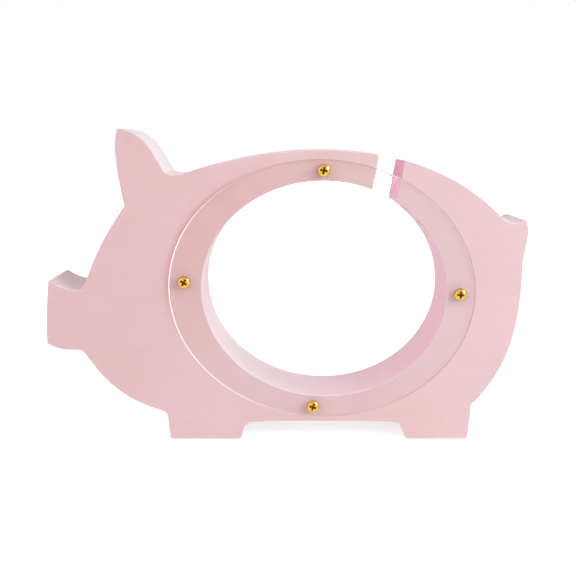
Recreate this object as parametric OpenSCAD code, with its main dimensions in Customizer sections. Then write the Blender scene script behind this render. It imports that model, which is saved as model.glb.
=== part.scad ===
// Wooden pig money box, in millimetres.
// A thick board is sawn to a pig's outline. An oval chamber goes right through its belly, and a slot
// opens the chamber to the back of the pig. A clear window is screwed over the chamber on each face.
// +X points to the tail, -Y is the front face and +Z is up. The feet stand on Z = 0.

/* [Board] */
// Length of the board, from snout to tail
body_l = 210; // [180:1:260]
// Height of the board, from feet to ear tip
body_h = 137; // [114:1:170]
// Thickness of the board, which a coin's diameter has to clear
board_t = 35; // [29:0.5:50]

/* [Legs] */
// Height of the belly above the ground
leg_h = 8.3; // [6:0.1:13]
// Length of the fore foot on the ground
fore_foot_l = 31.7; // [24:0.1:40]
// Length of the hind foot on the ground
hind_foot_l = 27.4; // [20:0.1:34]
// Radius of the feet's lower corners
foot_corner_r = 1.4; // [1.2:0.1:2.5]

/* [Snout] */
// How far the snout's face stands out from the head
snout_l = 15.4; // [10:0.1:22]
// Height of the snout's face
snout_h = 28; // [20:0.1:34]

/* [Chamber] */
// Wood left above the chamber, at the back's highest point
rim_back = 13.2; // [10:0.1:18]
// Wood left below the chamber, at the belly
rim_belly = 11.9; // [9:0.1:18]
// Wood left between the chamber and the rump
rim_rump = 32.7; // [26:0.1:45]
// Wood left between the chamber and the foot of the snout
rim_face = 53.1; // [42:0.1:65]
// Tilt of the chamber, nose up
chamber_tilt = 3.1; // [0:0.1:6]

/* [Coin slot] */
// Clear width of the coin slot
slot_w = 11.1; // [6:0.1:16]
// Lean of the slot towards the tail
slot_lean = 10.4; // [0:0.1:15]

/* [Windows] */
// Thickness of each window
window_t = 2; // [1.5:0.1:4]
// How far a window laps the wood at the ends of its long axis
lap_end = 13.3; // [11:0.1:16]
// How far a window laps the wood at the ends of its short axis
lap_side = 9.2; // [7.5:0.1:11]
// Tilt of the windows, nose up
window_tilt = 3.6; // [0:0.1:6]
// How far the windows' centre lies from the chamber's, towards the snout
window_shift = 1.1; // [0:0.1:2]

/* [Screws] */
// Diameter over the screw's thread
screw_d = 3; // [2.5:0.1:3.5]
// Length of a screw below its head
screw_l = 12; // [9:0.5:14]
// Diameter of the pan head
head_d = 5.5; // [4.8:0.1:6.2]
// Height of the pan head
head_h = 1.9; // [1.6:0.1:2.4]
// Height of the straight wall at the head's edge
head_edge = 0.5; // [0.3:0.1:0.8]
// Length of the pointed tip
tip_l = 2.6; // [1.8:0.1:4]
// Width of a wing of the cross recess
wing_w = 0.85; // [0.5:0.05:1]
// Distance across the cross recess at the head's top
recess_d = 3.5; // [2.4:0.1:3.6]
// Depth of the cross recess
recess_h = 1.3; // [1:0.1:1.5]
// Distance of the two end screws from the window's edge
inset_end = 6.75; // [5:0.05:8]
// Distance of the two side screws from the window's edge
inset_side = 4.6; // [4:0.05:5.5]

/* [Fits] */
// Gap round a screw where it passes through a window
window_gap = 0.08; // [0.05:0.01:0.1]
// Gap round a screw in its pilot hole
pilot_gap = 0.05; // [0.02:0.01:0.1]
// Room below a screw's point
pilot_room = 1; // [0.5:0.1:3]

/* [Hidden] */

$fn = 64;
round_fn = 48;

// Each screw's place round the window, counted in degrees from the window's tail end, its distance
// from the window's edge, and how far its cross recess happens to be turned.
top = [93.2, inset_side, 12];
left = [180, inset_end, 31];
bottom = [269.4, inset_side, 18];
right = [2.1, inset_end, 4];
stations = [top, left, bottom, right];

// ---- Curves ---------------------------------------------------------------------------------

// A curve is its start, two handles and its end.
function curve_point(c, t) =
    pow(1 - t, 3) * c[0] + 3 * pow(1 - t, 2) * t * c[1] + 3 * (1 - t) * t * t * c[2] + pow(t, 3) * c[3];

// Points along a curve. The last is left out, because the next stretch of outline starts there.
function stroke(c, steps, from = 0, to = 1) =
    [for (i = [0 : steps - 1]) curve_point(c, from + (to - from) * i / steps)];

// A corner at b, between a and c, rounded to the radius r
function rounded(a, b, c, r, steps = 5) =
    let (
        u = (a - b) / norm(a - b),
        v = (c - b) / norm(c - b),
        half = acos(u * v) / 2,
        bisector = (u + v) / norm(u + v),
        hub = b + bisector * r / sin(half),
        turn = 180 - 2 * half,
        start = b + u * r / tan(half) - hub,
        side = u.x * v.y - u.y * v.x > 0 ? -1 : 1
    )
    [for (i = [0 : steps])
        let (w = side * turn * i / steps)
        hub + [start.x * cos(w) - start.y * sin(w), start.x * sin(w) + start.y * cos(w)]];

// ---- The pig's outline, in X and Z --------------------------------------------------------------

// The template is drawn at one size and stretched to the board's. Legs and body stretch apart.
template_l = 210;
template_h = 137;
template_leg = 8.3;
stretch_x = body_l / template_l;
stretch_z = (body_h - leg_h) / (template_h - template_leg);
function at(x, z) =
    [x * stretch_x, z < template_leg ? z * leg_h / template_leg : leg_h + (z - template_leg) * stretch_z];

ear_tip = at(-71.5, 137);
ear_notch = at(-69.4, 104.2);
ear_root = at(-52.5, 120);
nape = at(-44.5, 117.9);
snout_mid = at(-105, 57.7);
snout_top = snout_mid + [1.6, snout_h / 2];
snout_foot = snout_mid + [0, -snout_h / 2];
snout_root = [snout_mid.x + snout_l, at(0, 67.4).y];
chin = [snout_mid.x + snout_l - 0.2, at(0, 40.5).y];
throat = at(-55.9, 13.4);
fore_toe = at(-51.5, 0);
fore_heel = fore_toe + [fore_foot_l, 0];
hind_heel = at(81.4, 0);
hind_toe = hind_heel - [hind_foot_l, 0];
hind_crease = hind_toe + [-3.4, at(0, 7.7).y];
hock = at(82.5, 15.4);
dock = at(103.2, 79.2);
tail_tip = at(104.2, 97.9);
croup = at(92.8, 99.9);

ear_front = [ear_tip, at(-74.6, 129.4), at(-70.8, 111), ear_notch];
forehead = [ear_notch, at(-86.3, 80), at(-83.9, 75.3), snout_root];
snout_bridge = [snout_root, snout_root - [9, 0.1], snout_top + [1.2, 0.4], snout_top];
snout_face = [snout_top, snout_top - [1, 0.34 * snout_h], snout_foot + [-0.1, 0.34 * snout_h], snout_foot];
snout_under = [snout_foot, snout_foot + [7.6, -4.3], chin + [-5, 1], chin];
jaw = [chin, chin + at(4.5, 0) - at(0, 4.2), at(-79.7, 20.6), throat];
fore_fillet = [throat, at(-53.6, 12.7), at(-52.4, 11.7), at(-52.3, 9.4)];
heel_rise = fore_heel + [0.9, at(0, 4.2).y];
heel_fillet = [heel_rise, fore_heel + [1.2, at(0, 6).y], fore_heel + [2.5, at(0, 7.6).y],
    fore_heel + [5.2, at(0, 7.9).y]];
belly = [heel_fillet[3], at(-4, 8.6), at(36, 8.6), hind_crease];
hind_shin = [at(82.2, 8.3), at(82.35, 10.6), at(82.45, 13), hock];
rump = [hock, at(102.5, 35.7), at(102.9, 60.4), dock];
tail_under = [dock, at(103.2, 84.5), at(106.6, 92), tail_tip];
tail_over = [tail_tip, at(102.1, 99.1), at(99.2, 93.2), croup];
back = [croup, at(50.5, 142.4), at(-19.1, 126.3), nape];
nape_fillet = [nape, at(-47.2, 116.8), at(-51.9, 117.4), ear_root];
ear_back = [ear_root, at(-57, 127.8), at(-61.1, 136.4), ear_tip];

// ---- The chamber and the slot -------------------------------------------------------------------

back_z = max([for (p = stroke(back, 40)) p.y]);
rump_x = max([for (p = stroke(rump, 40)) p.x]);
chamber_low = leg_h + rim_belly;
chamber_high = back_z - rim_back;
chamber_left = snout_root.x + rim_face;
chamber_right = rump_x - rim_rump;
chamber = [(chamber_left + chamber_right) / 2, (chamber_low + chamber_high) / 2];
chamber_a = (chamber_right - chamber_left) / 2;
chamber_b = (chamber_high - chamber_low) / 2;

// A point of an ellipse that is tilted nose up
function oval_point(centre, a, b, tilt, angle) =
    centre + [a * cos(angle) * cos(tilt) + b * sin(angle) * sin(tilt),
        b * sin(angle) * cos(tilt) - a * cos(angle) * sin(tilt)];

function chamber_point(angle) = oval_point(chamber, chamber_a, chamber_b, chamber_tilt, angle);

slot_mouth = at(45.6, 124.8);
// How far a point lies from the slot's middle line, towards the tail
function from_slot(p) =
    (p.x - slot_mouth.x) * cos(slot_lean) - (p.y - slot_mouth.y) * sin(slot_lean);

// Where a path, between two of its places, meets the slot's wall at the distance wall
function meets_wall(path, wall, from, to, tries = 30) =
    let (mid = (from + to) / 2)
    tries == 0 ? mid
    : (from_slot(path(from)) - wall) * (from_slot(path(mid)) - wall) <= 0
        ? meets_wall(path, wall, from, mid, tries - 1)
        : meets_wall(path, wall, mid, to, tries - 1);

along_back = function (t) curve_point(back, t);
along_chamber = function (angle) chamber_point(angle);
back_right_end = meets_wall(along_back, slot_w / 2, 0, 0.6);
back_left_start = meets_wall(along_back, -slot_w / 2, 0, 0.8);
chamber_start = meets_wall(along_chamber, slot_w / 2, 0, 90);
chamber_end = meets_wall(along_chamber, -slot_w / 2, 20, 120) - 360;

chamber_steps = 132;
chamber_wall = [for (i = [0 : chamber_steps])
    chamber_point(chamber_start + (chamber_end - chamber_start) * i / chamber_steps)];

// The outline runs from the ear tip down the face, along the ground, up the rump and over the back.
// At the slot it drops into the chamber, goes round it and comes out again.
outline = concat(
    stroke(ear_front, 10),
    stroke(forehead, 14),
    stroke(snout_bridge, 8),
    stroke(snout_face, 6),
    stroke(snout_under, 8),
    stroke(jaw, 18),
    stroke(fore_fillet, 5),
    [fore_fillet[3]],
    rounded(fore_fillet[3], fore_toe, fore_heel, foot_corner_r),
    rounded(fore_toe, fore_heel, heel_rise, foot_corner_r),
    stroke(heel_fillet, 6),
    stroke(belly, 10),
    [hind_crease],
    rounded(hind_crease, hind_toe, hind_heel, foot_corner_r),
    rounded(hind_toe, hind_heel, hind_shin[0], foot_corner_r),
    stroke(hind_shin, 2),
    stroke(rump, 26),
    stroke(tail_under, 7),
    stroke(tail_over, 8),
    stroke(back, 18, 0, back_right_end),
    [curve_point(back, back_right_end)],
    chamber_wall,
    stroke(back, 30, back_left_start, 1),
    stroke(nape_fillet, 8),
    stroke(ear_back, 14)
);

// ---- The windows' and screws' places ------------------------------------------------------------

window = chamber - [window_shift, 0];
window_a = chamber_a + lap_end;
window_b = chamber_b + lap_side;

// Distance from the window's centre to its edge at an angle from its long axis
function window_reach(angle) =
    1 / sqrt(pow(cos(angle) / window_a, 2) + pow(sin(angle) / window_b, 2));

function station_place(station) =
    let (
        reach = window_reach(station[0]) - station[1],
        angle = station[0] - window_tilt
    )
    window + reach * [cos(angle), sin(angle)];

// Moves children from the window's own frame, where +Z points out of the box, to a face of the board.
// face is -1 at the front and 1 at the rear.
module on_face(face, place) {
    translate([place.x, face * board_t / 2, place.y]) rotate([face * -90, 0, 0]) children();
}

// ---- The pieces ---------------------------------------------------------------------------------

pilot_h = screw_l - window_t + pilot_room;

module board() {
    color("#e6bfc6") difference() {
        rotate([90, 0, 0]) linear_extrude(board_t, center = true) polygon(outline);
        for (face = [-1, 1], station = stations)
            on_face(face, station_place(station))
                translate([0, 0, -pilot_h]) cylinder(d = screw_d + 2 * pilot_gap, h = pilot_h + 1, $fn = round_fn);
    }
}

// A clear oval plate with a hole for each screw
module window_plate(face) {
    color("#dfe9ea", 0.4) difference() {
        on_face(face, window) rotate([0, 0, face * window_tilt])
            linear_extrude(window_t) scale([window_a, window_b]) circle(1, $fn = 160);
        for (station = stations)
            on_face(face, station_place(station))
                translate([0, 0, -1]) cylinder(d = screw_d + 2 * window_gap, h = window_t + 2, $fn = round_fn);
    }
}

module front_window() {
    window_plate(-1);
}

module rear_window() {
    window_plate(1);
}

// A cross recess: two crossed wings that a cone narrows towards the bottom
module cross_recess() {
    translate([0, 0, head_h - recess_h]) intersection() {
        union() {
            translate([-recess_d, -wing_w / 2, 0]) cube([2 * recess_d, wing_w, recess_h + 1]);
            translate([-wing_w / 2, -recess_d, 0]) cube([wing_w, 2 * recess_d, recess_h + 1]);
        }
        cylinder(d1 = 0.45 * recess_d, d2 = recess_d * (1 + 0.55 / recess_h), h = recess_h + 1, $fn = round_fn);
    }
}

// A pan-head wood screw. Its head stands on Z = 0 and its point is down.
module wood_screw() {
    dome = [for (i = [0 : 8])
        let (a = 90 * i / 8)
        [head_d / 2 * pow(cos(a), 0.8), head_edge + (head_h - head_edge) * sin(a)]];
    difference() {
        rotate_extrude($fn = round_fn) polygon(concat(
            [[0, -screw_l], [0.15, -screw_l], [screw_d / 2, -screw_l + tip_l], [screw_d / 2, 0], [head_d / 2, 0]],
            dome));
        cross_recess();
    }
}

module placed_screw(face, station) {
    color("#c9a24b") on_face(face, station_place(station)) translate([0, 0, window_t])
        rotate([0, 0, face * station[2]]) wood_screw();
}

board();
front_window();
rear_window();
placed_screw(-1, top);  // front_screw_top
placed_screw(-1, left);  // front_screw_left
placed_screw(-1, bottom);  // front_screw_bottom
placed_screw(-1, right);  // front_screw_right
placed_screw(1, top);  // rear_screw_top
placed_screw(1, left);  // rear_screw_left
placed_screw(1, bottom);  // rear_screw_bottom
placed_screw(1, right);  // rear_screw_right
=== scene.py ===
"""Looks of a wooden pig money box: painted board, clear windows, brass screws and a studio."""

import logging
import math
from dataclasses import dataclass, field
from enum import Enum

import bmesh
import bpy
from mathutils import Matrix, Vector


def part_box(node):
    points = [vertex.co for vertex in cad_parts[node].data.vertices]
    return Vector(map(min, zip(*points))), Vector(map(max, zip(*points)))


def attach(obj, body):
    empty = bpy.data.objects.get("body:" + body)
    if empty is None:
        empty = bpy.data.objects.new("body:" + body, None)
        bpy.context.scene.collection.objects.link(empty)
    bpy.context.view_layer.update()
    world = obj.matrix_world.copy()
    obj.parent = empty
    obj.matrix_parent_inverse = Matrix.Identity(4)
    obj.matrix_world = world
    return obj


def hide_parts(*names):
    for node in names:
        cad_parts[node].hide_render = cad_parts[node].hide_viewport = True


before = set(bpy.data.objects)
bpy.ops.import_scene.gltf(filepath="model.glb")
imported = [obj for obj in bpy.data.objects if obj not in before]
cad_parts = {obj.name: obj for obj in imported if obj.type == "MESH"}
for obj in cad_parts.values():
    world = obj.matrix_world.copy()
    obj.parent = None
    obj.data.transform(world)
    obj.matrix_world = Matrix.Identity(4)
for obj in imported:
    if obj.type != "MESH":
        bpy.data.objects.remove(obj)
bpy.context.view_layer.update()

LOG = logging.getLogger("money_box")
MM = 0.001
Colour = tuple[float, float, float, float]

# How much of a face's normal lies along Y: a wall has less, a flat face has more.
WALL_MOST = 0.2
FLAT_LEAST = 0.99

# What a mesh tells its finish, as a colour in each corner of a face.
# Board: red on an eased edge, green for the painted sheen on a sawn wall, blue for the
# painted bounce light, a deeper pink.
# Window: red on a satin edge, green where that edge has a painted highlight and not painted
# shade, blue on an edge that shades the board.
# Screw: blue in the recess.
TRACES = "traces"


# ---- Names --------------------------------------------------------------------------------


class Face(Enum):
    """The two flat faces of the board, and the way each looks along Y."""

    FRONT = -1
    REAR = 1

    @property
    def word(self) -> str:
        """The face's name as the pieces on it carry it."""
        return self.name.lower()


class Station(Enum):
    """The four screws round a window, each with the turn in degrees of its cross recess."""

    TOP = 12
    LEFT = 31
    BOTTOM = 18
    RIGHT = 4

    @property
    def word(self) -> str:
        """The station's name as its screws carry it."""
        return self.name.lower()


# ---- Shader graphs ------------------------------------------------------------------------


class Value:
    """A socket of a shader graph. Sums on it add Math nodes to the graph."""

    def __init__(self, graph: "Graph", socket: bpy.types.NodeSocket) -> None:
        """Wraps a socket.

        Args:
            graph: the graph that the socket belongs to.
            socket: the socket to wrap.
        """
        self.graph = graph
        self.socket = socket

    def __add__(self, other: "Value | float") -> "Value":
        """This plus other."""
        return self.graph.math("ADD", self, other)

    def __radd__(self, other: float) -> "Value":
        """Other plus this."""
        return self.graph.math("ADD", other, self)

    def __sub__(self, other: "Value | float") -> "Value":
        """This less other."""
        return self.graph.math("SUBTRACT", self, other)

    def __rsub__(self, other: float) -> "Value":
        """Other less this."""
        return self.graph.math("SUBTRACT", other, self)

    def __mul__(self, other: "Value | float") -> "Value":
        """This times other."""
        return self.graph.math("MULTIPLY", self, other)

    def __rmul__(self, other: float) -> "Value":
        """Other times this."""
        return self.graph.math("MULTIPLY", other, self)

    def at_most(self, other: "Value | float") -> "Value":
        """The smaller of this and other."""
        return self.graph.math("MINIMUM", self, other)

    def at_least(self, other: "Value | float") -> "Value":
        """The larger of this and other."""
        return self.graph.math("MAXIMUM", self, other)


class Graph:
    """The node tree of one material or world."""

    def __init__(self, tree: bpy.types.NodeTree) -> None:
        """Empties a node tree.

        Args:
            tree: the node tree to build in.
        """
        self.tree = tree
        tree.nodes.clear()

    def node(
        self,
        kind: str,
        settings: dict[str, object] | None = None,
        values: dict[str | int, object] | None = None,
        output: str | int = 0,
    ) -> Value:
        """Adds a node.

        Args:
            kind: the node's type name.
            settings: properties of the node, set before its sockets. "stops" are a ramp's
                pairs of place and brightness.
            values: what goes into its sockets, by name or number: a Value makes a link,
                anything else is set.
            output: which output to return, by name or number.

        Returns:
            The chosen output, or the first input of a node without outputs.
        """
        made = self.tree.nodes.new(kind)
        for key, setting in (settings or {}).items():
            if key == "stops":
                self._set_stops(made.color_ramp, setting)
            else:
                setattr(made, key, setting)
        for key, value in (values or {}).items():
            if isinstance(value, Value):
                self.tree.links.new(value.socket, made.inputs[key])
            else:
                made.inputs[key].default_value = value
        return Value(self, made.outputs[output] if made.outputs else made.inputs[0])

    @staticmethod
    def _set_stops(ramp: bpy.types.ColorRamp, stops: list[tuple[float, float]]) -> None:
        """Gives a ramp grey stops.

        Args:
            ramp: the ramp to fill.
            stops: pairs of place and brightness, in order.
        """
        while len(ramp.elements) < len(stops):
            ramp.elements.new(1.0)
        for element, (place, grey) in zip(ramp.elements, stops):
            element.position = place
            element.color = (grey, grey, grey, 1.0)

    def math(self, operation: str, first: "Value | float", second: "Value | float") -> Value:
        """Adds a Math node.

        Args:
            operation: the node's operation.
            first: its first number.
            second: its second number.

        Returns:
            The node's output.
        """
        return self.node("ShaderNodeMath", {"operation": operation}, {0: first, 1: second})

    def place(self) -> Value:
        """Object coordinates."""
        return self.node("ShaderNodeTexCoord", output="Object")

    def along(self, axis: str, vector: Value) -> Value:
        """How far a vector reaches along "X", "Y" or "Z"."""
        return self.node("ShaderNodeSeparateXYZ", None, {"Vector": vector}, output=axis)

    def stretched(self, scale: tuple[float, float, float]) -> Value:
        """Object coordinates, stretched.

        Args:
            scale: the factor along each axis.

        Returns:
            The coordinates as a vector.
        """
        values = {"Vector": self.place(), "Scale": scale}
        return self.node("ShaderNodeMapping", {"vector_type": "POINT"}, values)

    def noise(self, place: Value, size: float, detail: float, roughness: float) -> Value:
        """Cloudy noise between 0 and 1.

        Args:
            place: the coordinates it is laid on.
            size: how large a cloud is, in metres.
            detail: how many finer layers it has.
            roughness: how strong the finer layers are.

        Returns:
            The noise.
        """
        values = {"Vector": place, "Scale": 1 / size, "Detail": detail, "Roughness": roughness}
        return self.node("ShaderNodeTexNoise", {"noise_dimensions": "3D"}, values, output="Fac")

    def ramp(self, value: Value, stops: list[tuple[float, float]]) -> Value:
        """Grey ramp of a number."""
        return self.node("ShaderNodeValToRGB", {"stops": stops}, {"Fac": value})

    def trace(self, part: str) -> Value:
        """One of the piece's traces: "Red", "Green" or "Blue"."""
        colour = self.node("ShaderNodeAttribute", {"attribute_name": TRACES}, output="Color")
        return self.node("ShaderNodeSeparateColor", None, {"Color": colour}, output=part)

    def ray(self, kind: str) -> Value:
        """1 for a ray of a kind, such as "Is Camera Ray", and 0 for any other."""
        return self.node("ShaderNodeLightPath", output=kind)

    def blend(self, share: Value, first: object, second: object) -> Value:
        """Blend of two colours.

        Args:
            share: how much of the second there is.
            first: colour where share is 0.
            second: colour where share is 1.

        Returns:
            The blended colour.
        """
        settings = {"data_type": "RGBA", "blend_type": "MIX"}
        values = {"Factor": share, 6: first, 7: second}
        return self.node("ShaderNodeMix", settings, values, output=2)

    def mixed(self, share: Value, first: Value, second: Value) -> Value:
        """Mix of two shaders.

        Args:
            share: how much of the second there is.
            first: shader where share is 0.
            second: shader where share is 1.

        Returns:
            The mixed shader.
        """
        return self.node("ShaderNodeMixShader", None, {"Fac": share, 1: first, 2: second})

    def bump(self, height: Value, strength: float, distance: float) -> Value:
        """Bumped normal.

        Args:
            height: the height that the bump follows.
            strength: how much of the bump shows.
            distance: how tall a height of 1 is, in metres.

        Returns:
            The normal.
        """
        values = {"Height": height, "Strength": strength, "Distance": distance}
        return self.node("ShaderNodeBump", None, values)

    def show(self, shader: Value) -> None:
        """Makes a shader the material's surface."""
        self.node("ShaderNodeOutputMaterial", None, {"Surface": shader})


def new_material(name: str) -> tuple[bpy.types.Material, Graph]:
    """Starts a material.

    Args:
        name: its name.

    Returns:
        The material and its empty graph.
    """
    material = bpy.data.materials.new(name)
    material.use_nodes = True
    return material, Graph(material.node_tree)


def srgb(red: int, green: int, blue: int) -> Colour:
    """Turns a display colour into the linear one that shaders take.

    Args:
        red: red from 0 to 255.
        green: green from 0 to 255.
        blue: blue from 0 to 255.

    Returns:
        The linear colour, solid.
    """
    parts = [
        v / 255 / 12.92 if v <= 10 else ((v / 255 + 0.055) / 1.055) ** 2.4
        for v in (red, green, blue)
    ]
    return (parts[0], parts[1], parts[2], 1.0)


def share_of(amount: float) -> float:
    """Keeps an amount between 0 and 1."""
    return min(1.0, max(0.0, amount))


# ---- Finishes -----------------------------------------------------------------------------


@dataclass(frozen=True)
class PinkPaint:
    """Matt pink paint on a sawn and sanded board.

    On the sawn walls it carries a painted sheen, paler paint that stands in for light
    glancing off them, and the saw's lines show through it. In the slot and on the tail side
    of the chamber it carries painted bounce light, a deeper pink that stands in for light
    passed between pink walls. Sizes and heights are in metres.
    """

    slot: str = "pink_painted_wood"
    body: Colour = srgb(234, 193, 197)
    deep: Colour = srgb(231, 188, 191)
    # Lighter paint on eased edges: wear, and a painted highlight along every arris.
    rubbed_and_highlit: Colour = srgb(244, 219, 223)
    # Painted sheen: paler paint on sawn walls, standing in for light glancing off them.
    painted_sheen: Colour = srgb(242, 222, 226)
    # Painted bounce light: a deeper pink where light would pass between pink walls.
    painted_bounce: Colour = srgb(250, 182, 205)
    cloud_size: float = 1 / 24
    grain_size: float = 1 / 420
    grain_stretch: tuple[float, float, float] = (0.12, 1, 1)
    speck_size: float = 1 / 600
    speckle: float = 3.2
    scuff_size: float = 1 / 260
    edge_highlight: float = 0.35
    scuffed: float = 0.5
    stipple_size: float = 1 / 2200
    stipple_height: float = 0.0003
    stipple_strength: float = 0.35
    saw_line: float = 1 / 700
    saw_stretch: tuple[float, float, float] = (1, 0.03, 1)
    saw_height: float = 0.0007
    saw_strength: float = 0.4
    sheen_strength: float = 0.85
    roughness: float = 0.44
    stipple_roughness: float = 0.1
    sawn_roughness: float = 0.24
    rubbed_gloss: float = 0.04

    def make(self) -> bpy.types.Material:
        """Builds the paint.

        Returns:
            The material.
        """
        material, graph = new_material("pink_paint")
        even = graph.stretched((1, 1, 1))
        grain = graph.noise(graph.stretched(self.grain_stretch), self.grain_size, 4, 0.6)
        stipple = graph.noise(even, self.stipple_size, 2, 0.5)
        eased_edge, sawn = graph.trace("Red"), graph.trace("Green")
        roughness = self.roughness + self.stipple_roughness * (stipple - 0.5)
        roughness = roughness + self.sawn_roughness * sawn - self.rubbed_gloss * eased_edge
        brushed = graph.bump(
            stipple * 0.7 + grain * 0.3, self.stipple_strength, self.stipple_height
        )
        values = {
            "Base Color": self._colour(graph, even, grain, eased_edge, sawn),
            "Roughness": roughness,
            "Normal": self._saw_lines(graph, sawn, brushed),
        }
        graph.show(graph.node("ShaderNodeBsdfPrincipled", None, values))
        return material

    def _colour(
        self, graph: Graph, even: Value, grain: Value, eased_edge: Value, sawn: Value
    ) -> Value:
        """Builds the paint's colour.

        Args:
            graph: the graph to build in.
            even: unstretched coordinates.
            grain: the wood's grain.
            eased_edge: where the edges are eased, for wear and a painted highlight.
            sawn: where the wood is sawn, scaled by its painted sheen.

        Returns:
            The colour.
        """
        clouds = graph.noise(even, self.cloud_size, 3, 0.55)
        specks = graph.noise(even, self.speck_size, 4, 0.65)
        scuffs = graph.noise(even, self.scuff_size, 4, 0.6)
        shade = graph.ramp(clouds * 0.7 + grain * 0.3, [(0.36, 0), (0.66, 1)])
        paint = graph.blend(shade, self.body, self.deep)
        # Painted sheen on the sawn walls.
        paint = graph.blend(self.sheen_strength * sawn, paint, self.painted_sheen)
        # Painted bounce light in the slot and chamber, with specks.
        bounce = graph.trace("Blue") * (1.0 + self.speckle * (specks - 0.5))
        paint = graph.blend(bounce.at_most(1.0), paint, self.painted_bounce)
        scuffs = graph.ramp(scuffs, [(0.42, 0), (0.7, 1)])
        # Every eased edge gets a painted highlight, and scuffs add wear on top of it.
        worn_and_highlit = eased_edge * (self.edge_highlight + self.scuffed * scuffs)
        return graph.blend(worn_and_highlit, paint, self.rubbed_and_highlit)

    def _saw_lines(self, graph: Graph, sawn: Value, under: Value) -> Value:
        """Builds the saw's lines.

        Args:
            graph: the graph to build in.
            sawn: where the wood is sawn.
            under: the normal that the lines are laid on.

        Returns:
            The normal.
        """
        lines = graph.noise(graph.stretched(self.saw_stretch), self.saw_line, 3, 0.65)
        values = {
            "Height": lines * sawn,
            "Strength": self.saw_strength,
            "Distance": self.saw_height,
            "Normal": under,
        }
        return graph.node("ShaderNodeBump", None, values)


@dataclass(frozen=True)
class ClearAcrylic:
    """Clear acrylic sheet with a satin edge.

    The edge is satin, and its colour is painted light: a painted highlight towards the
    snout, which also glows with painted light, and dark painted shade towards the tail.
    The sheet bends what is seen through it and lets light through to the board, a little
    warmer at the ear than at the rump, but for the light that its edge keeps back.
    """

    slot: str = "clear_acrylic"
    tint: Colour = (0.995, 0.997, 0.998, 1.0)
    satin: Colour = (1.0, 0.98, 0.98, 1.0)
    # The edge's painted shade.
    polished: Colour = srgb(116, 66, 78)
    unlit: Colour = (0.0, 0.0, 0.0, 1.0)
    # Painted glow of the edge's painted highlight, though no lamp is there.
    painted_glow: float = 0.72
    satin_share: float = 0.8
    satin_roughness: float = 0.6
    satin_gloss: float = 0.1
    lit_cool: Colour = (1.0, 1.0, 1.0, 1.0)
    lit_warm: Colour = (1.0, 0.95, 0.925, 1.0)
    lit_edge: Colour = (0.7, 0.3, 0.35, 1.0)
    edge_loss: float = 0.42
    index: float = 1.4
    roughness: float = 0.01
    scratch_size: float = 1 / 700
    scratch_roughness: float = 0.05

    def make(self) -> bpy.types.Material:
        """Builds the acrylic.

        Returns:
            The material.
        """
        material, graph = new_material("clear_acrylic")
        edge, white = graph.trace("Red"), graph.trace("Green")
        share = edge * self.satin_share
        sheet = graph.mixed(share, self._clear(graph), self._satin(graph, white))
        graph.show(self._open_to_light(graph, sheet, edge, white))
        return material

    def _clear(self, graph: Graph) -> Value:
        """Builds the clear faces.

        Args:
            graph: the graph to build in.

        Returns:
            The shader.
        """
        rubbing = graph.noise(graph.stretched((1, 1, 1)), self.scratch_size, 4, 0.65)
        rubbing = graph.ramp(rubbing, [(0.5, 0), (0.8, 1)])
        values = {
            "Base Color": self.tint,
            "Roughness": self.roughness + self.scratch_roughness * rubbing,
            "IOR": self.index,
            "Transmission Weight": 1.0,
        }
        return graph.node("ShaderNodeBsdfPrincipled", None, values)

    def _satin(self, graph: Graph, white: Value) -> Value:
        """Builds the edge.

        Args:
            graph: the graph to build in.
            white: how much painted highlight the edge has, against painted shade.

        Returns:
            The shader.
        """
        # Painted light on the edge: dark painted shade, white painted highlight.
        values = {
            "Base Color": graph.blend(white, self.polished, self.satin),
            "Roughness": self.satin_roughness,
            "Specular IOR Level": self.satin_gloss,
            # Painted glow: the highlit part of the edge gives off light, though it is no lamp.
            "Emission Color": graph.blend(white, self.unlit, self.satin),
            "Emission Strength": self.painted_glow,
        }
        return graph.node("ShaderNodeBsdfPrincipled", None, values)

    def _open_to_light(self, graph: Graph, sheet: Value, edge: Value, white: Value) -> Value:
        """Lets lamps and the room shine through the sheet.

        The light is warm where X less Z is under -134 mm and cool where it is over -62 mm.

        Args:
            graph: the graph to build in.
            sheet: the sheet as it is seen.
            edge: how satin the edge is.
            white: how white the edge is.

        Returns:
            The shader.
        """
        leaving = graph.node("ShaderNodeNewGeometry", output="Backfacing")
        kept_back = graph.trace("Blue") * (1.0 - leaving)
        kept_back = kept_back + (edge - white) * leaving * self.edge_loss
        lighting = graph.ray("Is Shadow Ray").at_least(graph.ray("Is Diffuse Ray"))
        passed = lighting * (1.0 - kept_back)
        place = graph.place()
        rearward = graph.along("X", place) - graph.along("Z", place)
        cool = graph.ramp(rearward * 5.0 + 0.85, [(0.18, 0), (0.54, 1)])
        shader = sheet
        for share, colour in (
            (lighting, self.lit_edge),
            (passed, self.lit_warm),
            (passed * cool, self.lit_cool),
        ):
            opening = graph.node("ShaderNodeBsdfTransparent", None, {"Color": colour})
            shader = graph.mixed(share, shader, opening)
        return shader


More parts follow.
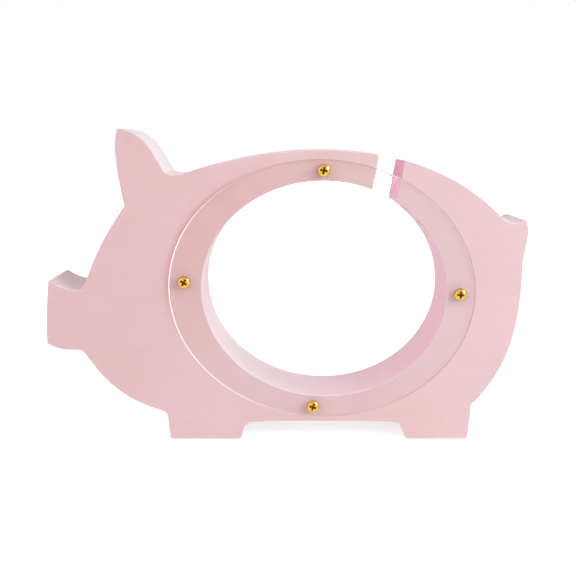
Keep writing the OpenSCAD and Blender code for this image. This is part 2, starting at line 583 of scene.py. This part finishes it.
@dataclass(frozen=True)
class Brass:
    """Bright brass, turned and pressed, with a clear coat that is worn off in the recess."""

    slot: str = "brass"
    bright: Colour = srgb(220, 174, 80)
    # Darker brass: real stains, and painted shade in the recess.
    stain_and_shade: Colour = srgb(96, 58, 6)
    roughness: float = 0.2
    stain_size: float = 1 / 900
    stained: float = 0.25
    stain_roughness: float = 0.12
    recess_shade: float = 0.92
    recess_roughness: float = 0.25
    scratch_size: float = 1 / 9000
    scratch_height: float = 0.00002
    scratch_strength: float = 0.12
    coat: float = 0.35
    coat_roughness: float = 0.12

    def make(self) -> bpy.types.Material:
        """Builds the brass.

        Returns:
            The material.
        """
        material, graph = new_material("brass")
        recess = graph.trace("Blue")
        stains = graph.noise(graph.stretched((1, 1, 1)), self.stain_size, 3, 0.6)
        stains = graph.ramp(stains, [(0.45, 0), (0.8, 1)])
        scratches = graph.noise(graph.stretched((1, 1, 0.1)), self.scratch_size, 2, 0.5)
        # Stains darken it at random; the recess is darker still, painted shade with some
        # tarnish.
        stain_and_shade_share = (self.stained * stains + self.recess_shade * recess).at_most(1.0)
        roughness = self.roughness + self.stain_roughness * stains
        values = {
            "Base Color": graph.blend(stain_and_shade_share, self.bright, self.stain_and_shade),
            "Roughness": roughness + self.recess_roughness * recess,
            "Normal": graph.bump(scratches, self.scratch_strength, self.scratch_height),
            "Metallic": 1.0,
            "Coat Weight": self.coat * (1.0 - recess),
            "Coat Roughness": self.coat_roughness,
        }
        graph.show(graph.node("ShaderNodeBsdfPrincipled", None, values))
        return material


# ---- Mesh helpers -------------------------------------------------------------------------


def merged_node(node: str, gap: float = 0.002 * MM, bend: float = 0.4) -> bmesh.types.BMesh:
    """Copies a CAD node's loose triangles and joins them into whole faces.

    Args:
        node: the node's name.
        gap: how far apart two corners may be that are made one.
        bend: the most degrees between two triangles of one face.

    Returns:
        The joined mesh, in metres, in the frame.
    """
    bm = bmesh.new()
    bm.from_mesh(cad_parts[node].data)
    bmesh.ops.remove_doubles(bm, verts=bm.verts, dist=gap)
    bmesh.ops.dissolve_limit(
        bm,
        angle_limit=math.radians(bend),
        use_dissolve_boundaries=False,
        verts=bm.verts,
        edges=bm.edges,
        delimit=set(),
    )
    bm.normal_update()
    return bm


def box_of(node: str) -> tuple[Vector, Vector]:
    """The lowest and the highest corner of a CAD node. Finding them takes a while."""
    low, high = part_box(node)
    return Vector(low), Vector(high)


def screw_middles() -> list[Vector]:
    """The middle of each screw's box."""
    screws = [f"{face.word}_screw_{station.word}" for face in Face for station in Station]
    return [(low + high) / 2 for low, high in map(box_of, screws)]


def sharp_edges(bm: bmesh.types.BMesh, least_angle: float) -> list[bmesh.types.BMEdge]:
    """Finds the edges that stand out or in.

    Args:
        bm: the mesh to search.
        least_angle: the least angle in degrees between an edge's two faces.

    Returns:
        The edges.
    """
    least = math.radians(least_angle)
    return [edge for edge in bm.edges if edge.is_manifold and edge.calc_face_angle() > least]


def ease(
    bm: bmesh.types.BMesh, edges: list[bmesh.types.BMEdge], radius: float, segments: int
) -> set[int]:
    """Rounds edges off.

    Args:
        bm: the mesh to change.
        edges: its edges to round.
        radius: how far from each edge the rounding starts, in the mesh's unit.
        segments: how many steps it takes.

    Returns:
        The numbers of the new faces, which hold until the mesh changes again.
    """
    made = bmesh.ops.bevel(
        bm,
        geom=edges,
        offset=radius,
        offset_type="OFFSET",
        affect="EDGES",
        segments=segments,
        profile=0.5,
        material=-1,
        clamp_overlap=False,
        loop_slide=True,
    )
    bm.normal_update()
    bm.faces.index_update()
    return {new.index for new in made["faces"]}


def finished_piece(
    bm: bmesh.types.BMesh, name: str, material: bpy.types.Material, flat_faces: bool = True
) -> bpy.types.Object:
    """Turns a mesh into a shown piece.

    Args:
        bm: the mesh, which is freed.
        name: the piece's name.
        material: what it is made of.
        flat_faces: whether the faces towards the front and the rear stay flat, with eased
            edges running into them.

    Returns:
        The piece, at the origin.
    """
    for polygon in bm.faces:
        polygon.smooth = not (flat_faces and abs(polygon.normal.y) > FLAT_LEAST)
    piece = plain_object(bm, name)
    piece.data.materials.append(material)
    if flat_faces:
        modifier = piece.modifiers.new("flat faces stay flat", "WEIGHTED_NORMAL")
        modifier.mode = "FACE_AREA"
        modifier.weight = 100
        modifier.keep_sharp = True
    return piece


def plain_object(bm: bmesh.types.BMesh, name: str) -> bpy.types.Object:
    """Puts a mesh in the scene.

    Args:
        bm: the mesh, which is freed.
        name: the object's name.

    Returns:
        The object, at the origin. Removing its mesh removes it.
    """
    mesh = bpy.data.meshes.new(name)
    bm.to_mesh(mesh)
    bm.free()
    made = bpy.data.objects.new(name, mesh)
    bpy.context.scene.collection.objects.link(made)
    return made


def stand_in_for(piece: bpy.types.Object, node: str) -> None:
    """Puts a piece in a CAD node's place, on the node's body.

    Args:
        piece: the piece.
        node: the CAD node, whose body has the same name.
    """
    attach(piece, node)
    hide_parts(node)
    LOG.info("%s: %d faces for node %s", piece.name, len(piece.data.polygons), node)


# ---- Board --------------------------------------------------------------------------------


@dataclass
class Board:
    """The pig: a thick sawn board with eased edges, painted all over.

    The slot's walls begin slot_start of the way from the chamber's middle to its top. The
    painted bounce light, a deeper pink that stands in for light passed between pink walls,
    is 1 strong on them, chamber_bounce strong on the chamber's floor and roof, and the
    stronger the more a wall faces the snout, by the power bounce_turn. In the rear half of
    the board rear_bounce of it is left. The chamber's walls carry chamber_sheen of the
    painted sheen, but the wall that faces the tail carries tail_facing_sheen_cut less.
    """

    paint: PinkPaint
    arris: float = 0.35 * MM
    arris_steps: int = 3
    drill_radius: float = 2.2 * MM
    sharpest: float = 24.0
    slot_start: float = 0.6
    chamber_bounce: float = 0.36
    bounce_turn: float = 1.3
    rear_bounce: float = 0.65
    upright: float = 0.9
    chamber_sheen: float = 0.8
    tail_facing_sheen_cut: float = 0.6

    def build(self) -> bpy.types.Object:
        """Builds the board from its CAD node.

        Returns:
            The piece.
        """
        bm = merged_node("board")
        holes = screw_middles()
        edges = [
            edge
            for edge in sharp_edges(bm, self.sharpest)
            if not self._at_pilot_hole(edge, holes)
        ]
        eased = ease(bm, edges, self.arris, self.arris_steps)
        self._leave_traces(bm, eased)
        piece = finished_piece(bm, "board_painted", self.paint.make())
        stand_in_for(piece, "board")
        return piece

    def _at_pilot_hole(self, edge: bmesh.types.BMEdge, holes: list[Vector]) -> bool:
        """Tells whether an edge belongs to a screw's pilot hole.

        Args:
            edge: the edge.
            holes: the middles of the screws.

        Returns:
            True if it lies round a screw's axis.
        """
        start = edge.verts[0].co
        return any(
            math.hypot(start.x - hole.x, start.z - hole.z) < self.drill_radius
            for hole in holes
        )

    def _leave_traces(self, bm: bmesh.types.BMesh, eased: set[int]) -> None:
        """Marks eased edges, the painted sheen on sawn walls, and the painted bounce light.

        Args:
            bm: the board's mesh.
            eased: the numbers of its eased faces.
        """
        low, high = box_of("front_window")
        middle, half = (low + high) / 2, (high - low) / 2
        layer = bm.loops.layers.float_color.new(TRACES)
        for polygon in bm.faces:
            place, tailward = polygon.calc_center_median() - middle, polygon.normal.x
            eased_edge = 1.0 if polygon.index in eased else 0.0
            sawn = 1.0 if abs(polygon.normal.y) < WALL_MOST else 0.0
            # Painted sheen share, less on the chamber wall facing the tail, which the lamps
            # light.
            sheen, bounce = sawn, 0.0
            if math.hypot(place.x / half.x, place.z / half.z) < 1:
                sheen = sawn * (self.chamber_sheen - self.tail_facing_sheen_cut * max(0.0, tailward) ** 4)
                # Painted bounce light, stronger the more a wall faces the snout.
                bounce = self.chamber_bounce * max(0.0, 1 - tailward) ** self.bounce_turn
            above = place.z > self.slot_start * half.z and 0 < place.x < half.x
            if above and abs(tailward) > self.upright:
                bounce = 1.0
            for loop in polygon.loops:
                depth = 1.0 if loop.vert.co.y < 0 else self.rear_bounce
                loop[layer] = (eased_edge, sheen, sawn * bounce * depth, 1.0)


# ---- Windows ------------------------------------------------------------------------------


@dataclass
class Window:
    """A clear oval plate on one face of the board, its outer rim broken by a narrow bevel.

    The whole edge has a painted highlight along most_highlit, painted shade elsewhere, and
    shades the board along shading. Its bevel has painted shade along darkest and a painted
    highlight along brightest. The more an edge faces along such a vector, and the longer
    the vector is, the more of it the edge has; shading_start comes off shading.
    """

    face: Face
    acrylic: bpy.types.Material
    slot: str
    bevel: float = 0.4 * MM
    bevel_steps: int = 2
    sharpest: float = 50.0
    most_highlit: Vector = field(default_factory=lambda: Vector((-1.2, 0.0, -0.25)))
    darkest: Vector = field(default_factory=lambda: Vector((0.9, 0.0, 0.3)))
    brightest: Vector = field(default_factory=lambda: Vector((0.13, 0.0, 0.13)))
    shading: Vector = field(default_factory=lambda: Vector((-3.0, 0.0, 1.4)))
    shading_start: float = 2.0
    rim_width: float = 0.04
    face_gap: float = 0.1 * MM

    def build(self) -> bpy.types.Object:
        """Builds the window from its CAD node.

        Returns:
            The piece.
        """
        node = f"{self.face.word}_window"
        bm = merged_node(node)
        low, high = box_of(node)
        sharp = sharp_edges(bm, self.sharpest)
        rim = [edge for edge in sharp if self._on_outer_rim(edge, low, high)]
        ease(bm, rim, self.bevel, self.bevel_steps)
        layer = bm.loops.layers.float_color.new(TRACES)
        for polygon in bm.faces:
            traces = self._traces(polygon.normal)
            for loop in polygon.loops:
                loop[layer] = traces
        piece = finished_piece(bm, f"{node}_clear", self.acrylic)
        stand_in_for(piece, node)
        return piece

    def _traces(self, normal: Vector) -> Colour:
        """Works out how satin a face is, its painted highlight, and how much it shades the
        board.

        Args:
            normal: the way it faces.

        Returns:
            The traces.
        """
        if abs(normal.y) > FLAT_LEAST:
            return (0.0, 0.0, 0.0, 1.0)
        outward = Vector((normal.x, 0.0, normal.z)).normalized()
        white = share_of(outward.dot(self.most_highlit))
        shading = share_of(outward.dot(self.shading) - self.shading_start)
        if abs(normal.y) < WALL_MOST:
            return (1.0, white, shading, 1.0)
        dark, bright = outward.dot(self.darkest), outward.dot(self.brightest)
        return (max(white, dark), max(white, bright), shading, 1.0)

    def _on_outer_rim(self, edge: bmesh.types.BMEdge, low: Vector, high: Vector) -> bool:
        """Tells whether an edge is the plate's outer rim, and not its inner one or a hole's.

        Args:
            edge: the edge.
            low: the lowest corner of the plate.
            high: the highest corner of the plate.

        Returns:
            True if it lies on the outer face, near the oval that fills the plate's box.
        """
        start = edge.verts[0].co
        outer = low.y if self.face is Face.FRONT else high.y
        place, half = start - (low + high) / 2, (high - low) / 2
        out = math.hypot(place.x / half.x, place.z / half.z)
        return out > 1 - self.rim_width and abs(start.y - outer) < self.face_gap


# ---- Screws -------------------------------------------------------------------------------


@dataclass
class WoodScrew:
    """A brass pan-head wood screw with a cross recess and a rolled thread.

    It is shaped in millimetres in a frame of its own: the head's seat is on Z = 0, the head
    above it. The punch of the recess reaches punch_rise above the head and is punch_flare
    wider there than the recess, and its wings keep wing_taper of their width and tip_taper of
    their reach at the bottom. The brass darkens, with painted shade and some tarnish, to its
    darkest recess_fade below the head's surface. The thread's root lies margin deep in the
    core.
    """

    face: Face
    station: Station
    brass: bpy.types.Material
    slot: str
    head_radius: float = 2.75
    head_height: float = 1.9
    head_edge: float = 0.5
    head_ease: float = 0.12
    crown: float = 0.62
    core_radius: float = 1.02
    crest_radius: float = 1.48
    neck_length: float = 2.6
    run_out: float = 0.5
    pitch: float = 1.25
    ridge: float = 0.3
    steps_per_turn: int = 20
    thread_stop: float = 0.45
    tip_length: float = 2.6
    tip_radius: float = 0.12
    least_thread: float = 0.12
    recess_span: float = 3.5
    recess_depth: float = 1.3
    recess_ease: float = 0.05
    recess_steps: int = 2
    recess_fade: float = 0.35
    sharpest: float = 28.0
    wing_width: float = 0.85
    punch_rise: float = 0.4
    punch_flare: float = 1.12
    wing_taper: float = 0.75
    tip_taper: float = 0.5
    margin: float = 0.05
    merge_gap: float = 0.001
    turned_steps: int = 56
    dome_steps: int = 9
    _length: float = field(init=False, default=0.0)

    def build(self) -> bpy.types.Object:
        """Builds the screw where its CAD node is.

        Returns:
            The piece.
        """
        node = f"{self.face.word}_screw_{self.station.word}"
        low, high = box_of(node)
        self._length = (high.y - low.y) / MM - self.head_height
        bm = self._turned_blank()
        bm = self._pressed(bm)
        self._roll_thread(bm)
        bm.transform(self._placement(low, high))
        piece = finished_piece(bm, f"{node}_brass", self.brass, flat_faces=False)
        stand_in_for(piece, node)
        return piece

    def _placement(self, low: Vector, high: Vector) -> Matrix:
        """Works out where the screw goes.

        Args:
            low: the lowest corner of its CAD node.
            high: the highest corner of its CAD node.

        Returns:
            The matrix from the screw's own frame to the box's.
        """
        outer = low.y if self.face is Face.FRONT else high.y
        seat = outer - self.face.value * self.head_height * MM
        place = Matrix.Translation(((low.x + high.x) / 2, seat, (low.z + high.z) / 2))
        lay_down = Matrix.Rotation(math.radians(-90 * self.face.value), 4, "X")
        turn = Matrix.Rotation(math.radians(self.face.value * self.station.value), 4, "Z")
        return place @ lay_down @ turn @ Matrix.Scale(MM, 4)

    def _turned_blank(self) -> bmesh.types.BMesh:
        """Turns the head, neck, core and point in one.

        Returns:
            The blank.
        """
        bm = bmesh.new()
        rise = self.head_height - self.head_edge
        arc = [math.radians(90 * step / self.dome_steps) for step in range(self.dome_steps)]
        dome = [
            (
                self.head_radius * math.cos(angle) ** self.crown,
                self.head_edge + rise * math.sin(angle),
            )
            for angle in arc
        ]
        line = [
            (0.0, -self._length),
            (self.tip_radius, -self._length + self.margin),
            (self.core_radius, -self._length + self.tip_length),
            (self.core_radius, -self.neck_length - self.run_out),
            (self.crest_radius, -self.neck_length),
            (self.crest_radius, 0.0),
            (self.head_radius - self.head_ease, 0.0),
            (self.head_radius, self.head_ease),
            *dome,
            (0.0, self.head_height),
        ]
        verts = [bm.verts.new((out, 0.0, up)) for out, up in line]
        edges = [bm.edges.new(pair) for pair in zip(verts, verts[1:])]
        bmesh.ops.spin(
            bm,
            geom=verts + edges,
            axis=(0, 0, 1),
            cent=(0, 0, 0),
            angle=math.tau,
            steps=self.turned_steps,
            use_merge=True,
        )
        bmesh.ops.remove_doubles(bm, verts=bm.verts, dist=self.merge_gap)
        bmesh.ops.recalc_face_normals(bm, faces=bm.faces)
        return bm

    def _pressed(self, bm: bmesh.types.BMesh) -> bmesh.types.BMesh:
        """Presses the cross recess into the head.

        Args:
            bm: the blank, which is freed.

        Returns:
            The blank with its recess, eased at the rim and marked for the brass.
        """
        blank = plain_object(bm, "blank")
        punch = plain_object(self._punch(), "punch")
        cut = blank.modifiers.new("recess", "BOOLEAN")
        cut.operation = "DIFFERENCE"
        cut.solver = "EXACT"
        cut.object = punch
        pressed = bmesh.new()
        pressed.from_object(blank, bpy.context.evaluated_depsgraph_get())
        for helper in (blank, punch):
            bpy.data.meshes.remove(helper.data)
        bmesh.ops.remove_doubles(pressed, verts=pressed.verts, dist=self.merge_gap)
        rim = [
            edge
            for edge in sharp_edges(pressed, self.sharpest)
            if all(vert.co.z > self.head_edge for vert in edge.verts)
        ]
        ease(pressed, rim, self.recess_ease, self.recess_steps)
        layer = pressed.loops.layers.float_color.new(TRACES)
        for polygon in pressed.faces:
            for loop in polygon.loops:
                loop[layer] = (0.0, 0.0, self._recess_share(loop.vert.co), 1.0)
        return pressed

    def _recess_share(self, point: Vector) -> float:
        """How deep in the recess a point of the screw lies.

        Args:
            point: the point, in the screw's own frame.

        Returns:
            0 on the outside and 1 well down in the recess.
        """
        out = math.hypot(point.x, point.y)
        bottom = self.head_height - self.recess_depth
        if point.z < bottom - self.margin or out > self.recess_span / 2 + 2 * self.margin:
            return 0.0
        rise = math.sqrt(max(0.0, 1 - (out / self.head_radius) ** (2 / self.crown)))
        surface = self.head_edge + (self.head_height - self.head_edge) * rise
        return share_of((surface - point.z - self.margin) / self.recess_fade)

    def _punch(self) -> bmesh.types.BMesh:
        """Builds the punch of the cross recess, its wings tapering downwards.

        Returns:
            The punch, standing in the head.
        """
        bm = bmesh.new()
        near = self.recess_span / 4
        reach = self.punch_flare * self.recess_span / 2
        half_wing = self.punch_flare * self.wing_width / 2
        bmesh.ops.create_grid(bm, x_segments=3, y_segments=3, size=reach)
        for vert in bm.verts:
            if abs(vert.co.x) < near:
                vert.co.x = math.copysign(half_wing, vert.co.x)
            if abs(vert.co.y) < near:
                vert.co.y = math.copysign(half_wing, vert.co.y)
            vert.co.z = self.head_height + self.punch_rise
        corners = [
            polygon
            for polygon in bm.faces
            if min(abs(part) for part in polygon.calc_center_median().xy) > half_wing
        ]
        bmesh.ops.delete(bm, geom=corners, context="FACES")
        pushed = bmesh.ops.extrude_face_region(bm, geom=bm.faces[:])["geom"]
        for vert in (item for item in pushed if isinstance(item, bmesh.types.BMVert)):
            across, along = abs(vert.co.x), abs(vert.co.y)
            far = max(across, along) > near
            vert.co.x *= self.tip_taper if far and across > along else self.wing_taper
            vert.co.y *= self.tip_taper if far and along > across else self.wing_taper
            vert.co.z = self.head_height - self.recess_depth
        bmesh.ops.recalc_face_normals(bm, faces=bm.faces)
        return bm

    def _roll_thread(self, bm: bmesh.types.BMesh) -> None:
        """Winds the thread round the core, down to the point.

        Args:
            bm: the screw's mesh, which gets the thread.
        """
        start = -self.neck_length - self.run_out
        drop = self._length + start - self.thread_stop
        rounds = drop / self.pitch
        steps = int(rounds * self.steps_per_turn)
        root = self.core_radius - self.margin
        profile = [(root, self.ridge), (self.crest_radius, 0.0), (root, -self.ridge)]
        before = set(bm.verts)
        verts = [bm.verts.new((out, 0.0, start + up)) for out, up in profile]
        end = bm.faces.new(verts)
        bmesh.ops.spin(
            bm,
            geom=[end, *end.edges, *verts],
            axis=(0, 0, 1),
            cent=(0, 0, 0),
            dvec=(0, 0, -drop / steps),
            angle=-math.tau * rounds,
            steps=steps,
            use_merge=False,
        )
        for vert in bm.verts:
            if vert not in before:
                taper = (vert.co.z + self._length) / self.tip_length
                taper = min(1.0, max(self.least_thread, taper))
                vert.co.x *= taper
                vert.co.y *= taper
        bmesh.ops.recalc_face_normals(bm, faces=bm.faces)


# ---- Studio -------------------------------------------------------------------------------


@dataclass
class Lamp:
    """A soft rectangular lamp that looks at the box."""

    name: str
    place: tuple[float, float, float]
    size: tuple[float, float]
    power: float
    colour: tuple[float, float, float] = (1.0, 1.0, 1.0)
    gives_gloss: bool = True
    target: tuple[float, float, float] = (0.0, 0.0, 0.065)

    def build(self) -> None:
        """Hangs the lamp."""
        data = bpy.data.lights.new(self.name, "AREA")
        data.shape = "RECTANGLE"
        data.size, data.size_y = self.size
        data.energy = self.power
        data.color = self.colour
        lamp = bpy.data.objects.new(self.name, data)
        lamp.location = self.place
        lamp.visible_glossy = self.gives_gloss
        lamp.rotation_mode = "QUATERNION"
        view = Vector(self.target) - Vector(self.place)
        lamp.rotation_quaternion = view.to_track_quat("-Z", "Y")
        bpy.context.scene.collection.objects.link(lamp)


@dataclass
class Studio:
    """White floor and backdrop, soft lamps and the camera.

    The floor's lift is how much it glows where it is seen: near_lift as far as near metres
    from the box, so that the shadow shows, and far_lift from far metres on.
    """

    floor_size: float = 12.0
    floor_colour: Colour = (0.8, 0.8, 0.8, 1.0)
    white: Colour = (1.0, 1.0, 1.0, 1.0)
    near_lift: float = 0.65
    far_lift: float = 0.85
    near: float = 0.6
    far: float = 2.0
    room_light: float = 0.78
    backdrop_light: float = 0.26
    camera_place: tuple[float, float, float] = (1.07 * MM, -416.0 * MM, 133.0 * MM)
    camera_pitch: float = 9.26
    image_height: int = 578
    focal_pixels: float = 925.8
    sensor: float = 36.0
    lamps: list[Lamp] = field(
        default_factory=lambda: [
            Lamp("key", (0.6, -0.47, 0.36), (0.4, 0.4), 2.75, (0.72, 1.0, 0.98)),
            Lamp("left", (-0.6, -0.6, 0.35), (0.5, 0.5), 0.85, (1.0, 0.66, 0.74)),
            Lamp("high right", (0.8, 0.0, 0.6), (0.3, 0.3), 2.7, (0.82, 1.0, 0.98)),
            Lamp("behind", (0.0, 2.6, 0.12), (0.4, 0.25), 23.0, gives_gloss=False),
            Lamp("high behind", (-0.2, 1.1, 0.55), (0.6, 0.5), 0.85),
        ]
    )

    def build(self) -> None:
        """Sets the studio up."""
        self._build_floor()
        self._build_room()
        for lamp in self.lamps:
            lamp.build()
        self._build_camera()
        bpy.context.scene.view_settings.view_transform = "Standard"

    def _build_floor(self) -> None:
        """Lays a floor that is white but for the box's shadow."""
        bm = bmesh.new()
        bmesh.ops.create_grid(bm, x_segments=1, y_segments=1, size=self.floor_size / 2)
        material, graph = new_material("floor")
        matt = graph.node("ShaderNodeBsdfDiffuse", None, {"Color": self.floor_colour})
        distance = graph.node(
            "ShaderNodeVectorMath", {"operation": "LENGTH"}, {0: graph.place()}, output="Value"
        )
        stops = [(self.near / self.far, self.near_lift), (1.0, self.far_lift)]
        lift = graph.ramp(distance * (1 / self.far), stops) * self._shown(graph)
        values = {"Color": self.white, "Strength": lift}
        glow = graph.node("ShaderNodeEmission", None, values)
        graph.show(graph.node("ShaderNodeAddShader", None, {0: matt, 1: glow}))
        floor = finished_piece(bm, "floor", material, flat_faces=False)

    @staticmethod
    def _shown(graph: Graph) -> Value:
        """Tells whether a point is seen, straight, mirrored in metal or through clear sheet.

        Args:
            graph: the graph to build in.

        Returns:
            1 where it is and 0 where the point only lights others.
        """
        mirrored, through = graph.ray("Is Glossy Ray"), graph.ray("Is Transmission Ray")
        return (graph.ray("Is Camera Ray") + mirrored + through).at_most(1.0)

    def _build_room(self) -> None:
        """Makes the background white, and its light dimmer behind the box than before it."""
        world = bpy.data.worlds.new("studio")
        world.use_nodes = True
        bpy.context.scene.world = world
        graph = Graph(world.node_tree)
        direction = graph.node("ShaderNodeTexCoord", output="Generated")
        backwards = graph.along("Y", direction) * 0.5 + 0.5
        room = graph.ramp(backwards, [(0.42, self.room_light), (0.62, self.backdrop_light)])
        strength = room + (1.0 - room) * self._shown(graph)
        values = {"Color": self.white, "Strength": strength}
        sky = graph.node("ShaderNodeBackground", None, values)
        graph.node("ShaderNodeOutputWorld", None, {"Surface": sky})

    def _build_camera(self) -> None:
        """Stands the camera a little above the box, looking down at it."""
        data = bpy.data.cameras.new("camera")
        data.sensor_width = self.sensor
        data.lens = self.sensor * self.focal_pixels / self.image_height
        data.clip_start = 0.01
        camera = bpy.data.objects.new("camera", data)
        camera.location = self.camera_place
        camera.rotation_euler = (math.radians(90 - self.camera_pitch), 0, 0)
        bpy.context.scene.collection.objects.link(camera)
        bpy.context.scene.camera = camera


# ---- The whole box ------------------------------------------------------------------------


def main() -> None:
    """Builds the studio and the box, piece by piece."""
    logging.basicConfig(level=logging.INFO, format="%(message)s")
    Studio().build()
    Board(PinkPaint()).build()
    acrylic, brass = ClearAcrylic(), Brass()
    acrylic_material, brass_material = acrylic.make(), brass.make()
    for face in Face:
        Window(face, acrylic_material, acrylic.slot).build()
        for station in Station:
            WoodScrew(face, station, brass_material, brass.slot).build()


if __name__ == "__main__":
    main()
